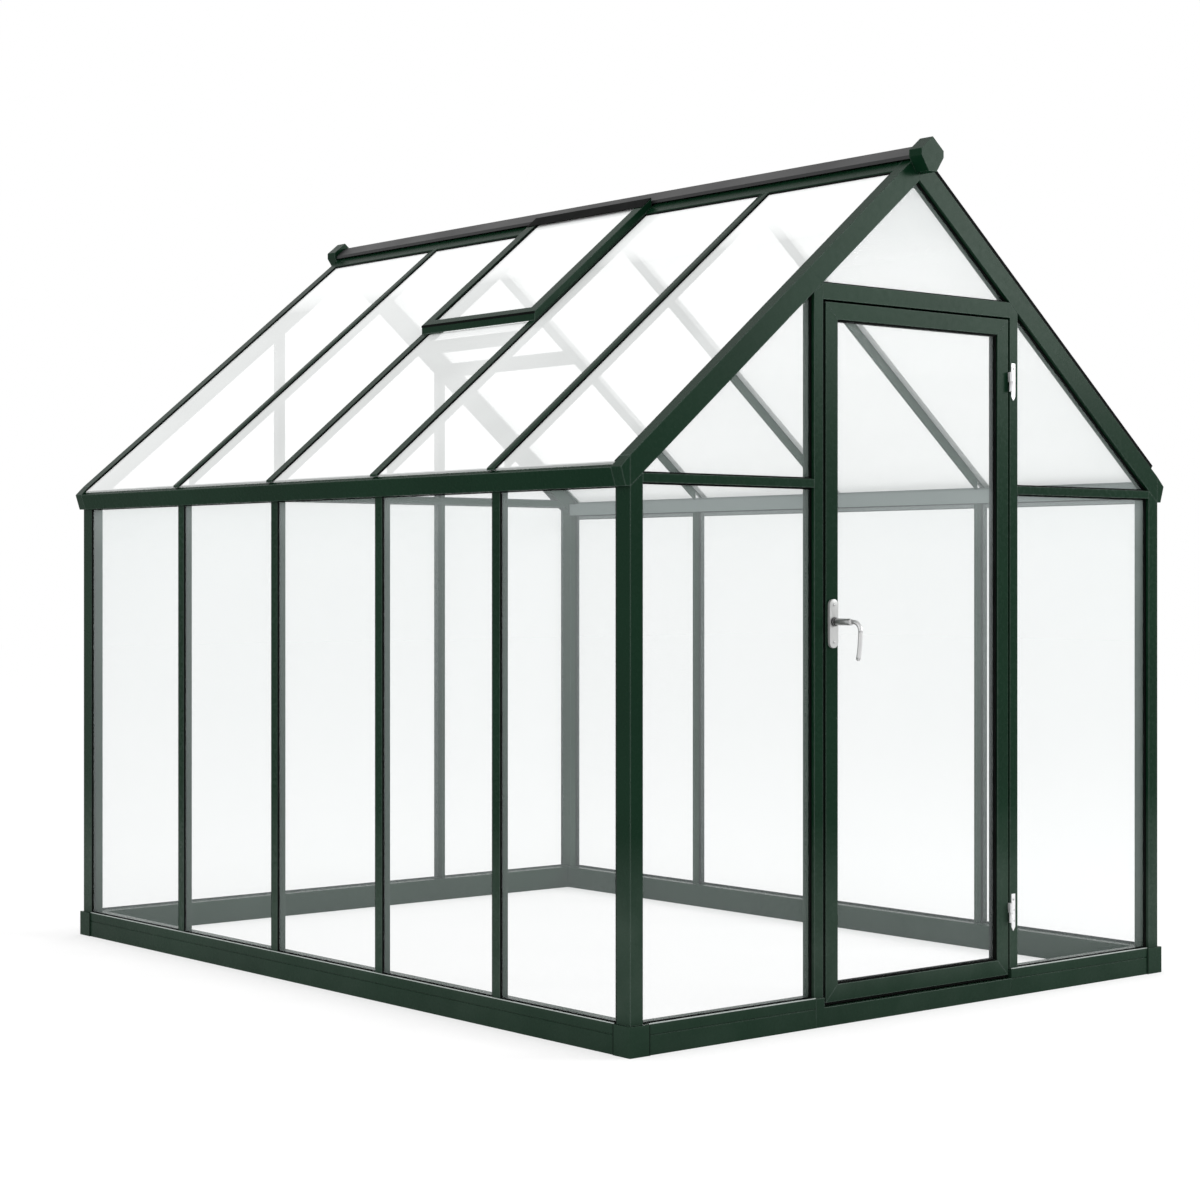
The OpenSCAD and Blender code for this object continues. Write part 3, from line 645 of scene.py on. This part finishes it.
# Black strip on the top edge of the right rafters only: painted shade, laid as a seal
for rafter, corner in (("front_right_rafter", 0), ("back_right_rafter", 1)):
    shade_strip = one_side(Y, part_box(rafter)[corner].y, RAFTER_SHADE_STRIP, RAFTER_SHADE_STRIP_END)
    add_bead(f"{rafter}_strip", rafter, RIGHT_UP, RAFTER_SHADE_STRIP_H, shade_strip)
add_bead("front_gable_gaskets", "front_gable_glass", FRONT, FRONT_GASKET_H, all_round(BEAD))
add_bead("back_wall_gaskets", "back_wall_glass", BACK, GASKET_H, wall_rule("back_wall_glass", X))
add_bead("vent_gaskets", "roof_vent_glass", LEFT_UP, GASKET_H, all_round(BEAD))

# Drip strip on the vent's lower edge, and on its upper one a black hinge strip that also paints the shadow
# under the ridge cap
vent_top = max(corner.z for corner in faces_toward("roof_vent_frame", LEFT)[0])
add_bead("vent_drip_strip", "roof_vent_frame", LEFT, DRIP_STRIP_H, one_side(Z, vent_top, DRIP_STRIP))
vent_low, vent_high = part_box("roof_vent_frame")
# Black hinge strip that also paints the shadow under the ridge cap
hinge_shade_run = VENT_HINGE_SHADE_W * Vector(LEFT_DOWN)
hinge_shade_ends = [Vector((vent_high.x, y, vent_high.z)) for y in (vent_high.y, vent_low.y)]
hinge_shade_strip = bmesh.new()
bead_along(
    hinge_shade_strip, [hinge_shade_ends[0], hinge_shade_ends[0] + hinge_shade_run, hinge_shade_ends[1] + hinge_shade_run, hinge_shade_ends[1]],
    Vector(LEFT_UP), VENT_HINGE_SHADE_H, one_side(Z, vent_high.z, (0.0, VENT_HINGE_SHADE_W)),
)
add_piece("vent_hinge_strip", hinge_shade_strip, rubber, "roof_vent_frame")

add_bead("door_gaskets", "door_glass", FRONT, DOOR_GASKET_H, all_round(BEAD))
add_bead("door_inner_gaskets", "door_glass", BACK, DOOR_GASKET_H, all_round(BEAD))

# Seams of the base corners, and pale strips along the base rails that paint the highlight on their top outer
# edge
for side, outward in (("left", LEFT), ("right", RIGHT)):
    corners = f"base_corners_{side}"
    add_bead(f"{side}_corner_side_seams", corners, outward, SEAM_H, seam_rule(corners, X, Y))
    add_bead(f"{side}_corner_front_seams", corners, FRONT, SEAM_H, seam_rule(corners, Y, X))
    add_bead(f"{side}_corner_back_seams", corners, BACK, SEAM_H, seam_rule(corners, Y, X))
for rail, axis, corner in (
    ("base_left", X, 0), ("base_right", X, 1), ("base_back", Y, 1),
    ("base_front_left", Y, 0), ("base_front_right", Y, 0),
):
    shade_strip = one_side(axis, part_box(rail)[corner][axis], SILL_HIGHLIGHT_STRIP)
    add_bead(f"{rail}_sill_highlight_strip", rail, UP, SILL_HIGHLIGHT_STRIP_H, shade_strip, sill_highlight_trim)

# Seals round the door: an edge strip and a foot brush on the leaf, stops behind it on the frame
leaf_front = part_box("door_left_stile")[0].y
jamb_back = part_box("door_jamb_left")[1].y
lintel_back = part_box("door_lintel")[1].y
sill_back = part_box("door_sill")[1].y
jamb_stop = one_side(Y, jamb_back, JAMB_STOP, JAMB_STOP_END)
# Black strip on the leaf's latch edge: a seal that also paints the shade on that edge
add_bead("door_edge_shade_strip", "door_left_stile", LEFT, EDGE_SEAL_SHADE_H, one_side(Y, leaf_front, EDGE_SEAL_SHADE))
add_bead("door_foot_brush", "door_bottom_rail", DOWN, FOOT_BRUSH_H, one_side(Y, leaf_front, FOOT_BRUSH))
add_bead("latch_stop", "door_jamb_left", RIGHT, LATCH_STOP_H, jamb_stop)
add_bead("hinge_stop", "door_jamb_right", LEFT, HINGE_STOP_H, jamb_stop)
add_bead("lintel_stop", "door_lintel", DOWN, LINTEL_STOP_H, one_side(Y, lintel_back, LINTEL_STOP))
add_bead("sill_stop", "door_sill", UP, SILL_STOP_H, one_side(Y, sill_back, SILL_STOP))


def turned(bm, profile, place, material_index=0, segments=24):
    """Turned shape on an axis that points out of the front, from (radius, reach) pairs."""
    rings = []
    for radius, reach in profile:
        if radius == 0:
            rings.append([bm.verts.new(place + Vector((0, -reach, 0)))])
            continue
        ring = []
        for step in range(segments):
            angle = 2 * math.pi * step / segments
            spoke = Vector((radius * math.cos(angle), -reach, radius * math.sin(angle)))
            ring.append(bm.verts.new(place + spoke))
        rings.append(ring)
    for first, second in zip(rings, rings[1:]):
        for step in range(segments):
            after = (step + 1) % segments
            corners = []
            for ring, order in ((first, (step, after)), (second, (after, step))):
                for index in order if len(ring) > 1 else (0,):
                    corners.append(ring[index])
            face = bm.faces.new(corners)
            face.smooth = True
            face.material_index = material_index


def block(bm, centre, size, material_index):
    """Small plain block."""
    made = bmesh.ops.create_cube(bm, size=1.0, matrix=Matrix.LocRotScale(centre, None, Vector(size)))
    for vert in made["verts"]:
        for face in vert.link_faces:
            face.material_index = material_index


def screw(bm, place, radius):
    """Pan head screw; its cross recess is two flat dark blocks on the head, painted shade."""
    height = radius * HEAD_HEIGHT
    turned(bm, [(radius * share, height * rise) for share, rise in HEAD_OUTLINE], place)
    face = place + Vector((0, -height, 0))
    long, wide = radius * RECESS_LONG, radius * RECESS_WIDE
    # The cross recess is not cut: two thin dark blocks paint its shade
    for size in ((long, RECESS_RISE, wide), (wide, RECESS_RISE, long)):
        block(bm, face, size, 1)


def hardware(name, bm, node, dark=collar_and_recess_shade_steel):
    """Screws or fittings in a bright finish and a second one; on the screws the second paints the shade in
    their cross recess.
    """
    piece = add_piece(name, bm, steel, node)
    piece.data.materials.append(dark)


# Screws and collar on the handle plate, and a sleeve on the neck of the lever
plate_low, plate_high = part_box("handle_plate")
middle_x = (plate_low.x + plate_high.x) / 2
neck_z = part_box("lever_handle")[1].z - NECK_RADIUS
neck_root = Vector((middle_x, plate_low.y, neck_z))
fittings = bmesh.new()
for z in (plate_low.z + PLATE_SCREW_IN, plate_high.z - PLATE_SCREW_IN):
    screw(fittings, Vector((middle_x, plate_low.y, z)), SCREW_RADIUS)
turned(fittings, COLLAR + COLLAR[:1], neck_root, 1)
hardware("handle_fittings", fittings, "handle_plate")
sleeve = bmesh.new()
turned(sleeve, SLEEVE + SLEEVE[:1], neck_root, 1)
hardware("neck_sleeve", sleeve, "lever_handle", sleeve_steel)

# Screws of the hinge leaves on the jamb
leaf_screws = bmesh.new()
for corners in faces_toward("jamb_hinges", FRONT):
    right = max(corner.x for corner in corners)
    top = max(corner.z for corner in corners)
    for drop in LEAF_SCREW_DROPS:
        screw(leaf_screws, Vector((right - LEAF_SCREW_X, corners[0].y, top - drop)), SCREW_RADIUS)
hardware("hinge_screws", leaf_screws, "jamb_hinges")


def floor_material():
    """White floor: plain diffuse for light, lifted to white where it is seen, with its shadows."""
    mat = bpy.data.materials.new("studio_floor")
    g = Graph(mat)
    path = g.add("ShaderNodeLightPath").outputs
    seen = g.math("MAXIMUM", path["Is Camera Ray"], path["Is Glossy Ray"])
    seen = g.math("MAXIMUM", seen, path["Is Transmission Ray"])
    grey = g.spread(seen, (0.0, 1.0), (FLOOR_WHITE, FLOOR_SHADE))
    diffuse = g.add("ShaderNodeBsdfDiffuse", Color=grey)
    lift = g.math("MULTIPLY", seen, 1.0 - AMBIENT * FLOOR_SHADE)
    glow = g.add("ShaderNodeEmission", Color=WHITE, Strength=lift)
    g.surface(g.add("ShaderNodeAddShader", i0=diffuse.outputs[0], i1=glow.outputs[0]))
    return mat


def area_lamp(name, place, target, size, watts):
    """Soft lamp with a width and a height, aimed at a point."""
    data = bpy.data.lights.new(name, "AREA")
    data.shape = "RECTANGLE"
    data.size, data.size_y = size
    data.energy = watts
    lamp = bpy.data.objects.new(name, data)
    lamp.location = place
    aim = Vector(target) - Vector(place)
    lamp.rotation_euler = aim.to_track_quat("-Z", "Y").to_euler()
    lamp.visible_camera = False
    bpy.context.scene.collection.objects.link(lamp)


world = bpy.data.worlds.new("studio")
bpy.context.scene.world = world
world_graph = Graph(world)
background = world_graph.add("ShaderNodeBackground", Color=WHITE, Strength=AMBIENT)
world_graph.surface(background, "ShaderNodeOutputWorld")

bpy.ops.mesh.primitive_grid_add(x_subdivisions=4, y_subdivisions=4, size=FLOOR_SIDE, location=(0, 0, 0))
floor = bpy.context.object
floor.name = "studio_floor"
floor.data.materials.append(floor_material())

area_lamp("key_lamp", *KEY_LAMP)
area_lamp("fill_lamp", *FILL_LAMP)

camera_data = bpy.data.cameras.new("camera")
camera_data.lens = CAMERA_LENS
camera_data.sensor_width = CAMERA_SENSOR
camera_data.shift_y = CAMERA_SHIFT_Y
camera = bpy.data.objects.new("camera", camera_data)
camera.location = CAMERA_PLACE
camera.rotation_euler = (math.pi / 2, 0.0, -CAMERA_YAW)
bpy.context.scene.collection.objects.link(camera)

scene = bpy.context.scene
scene.camera = camera
scene.view_settings.view_transform = "Standard"
scene.cycles.transparent_max_bounces = PANE_BOUNCES
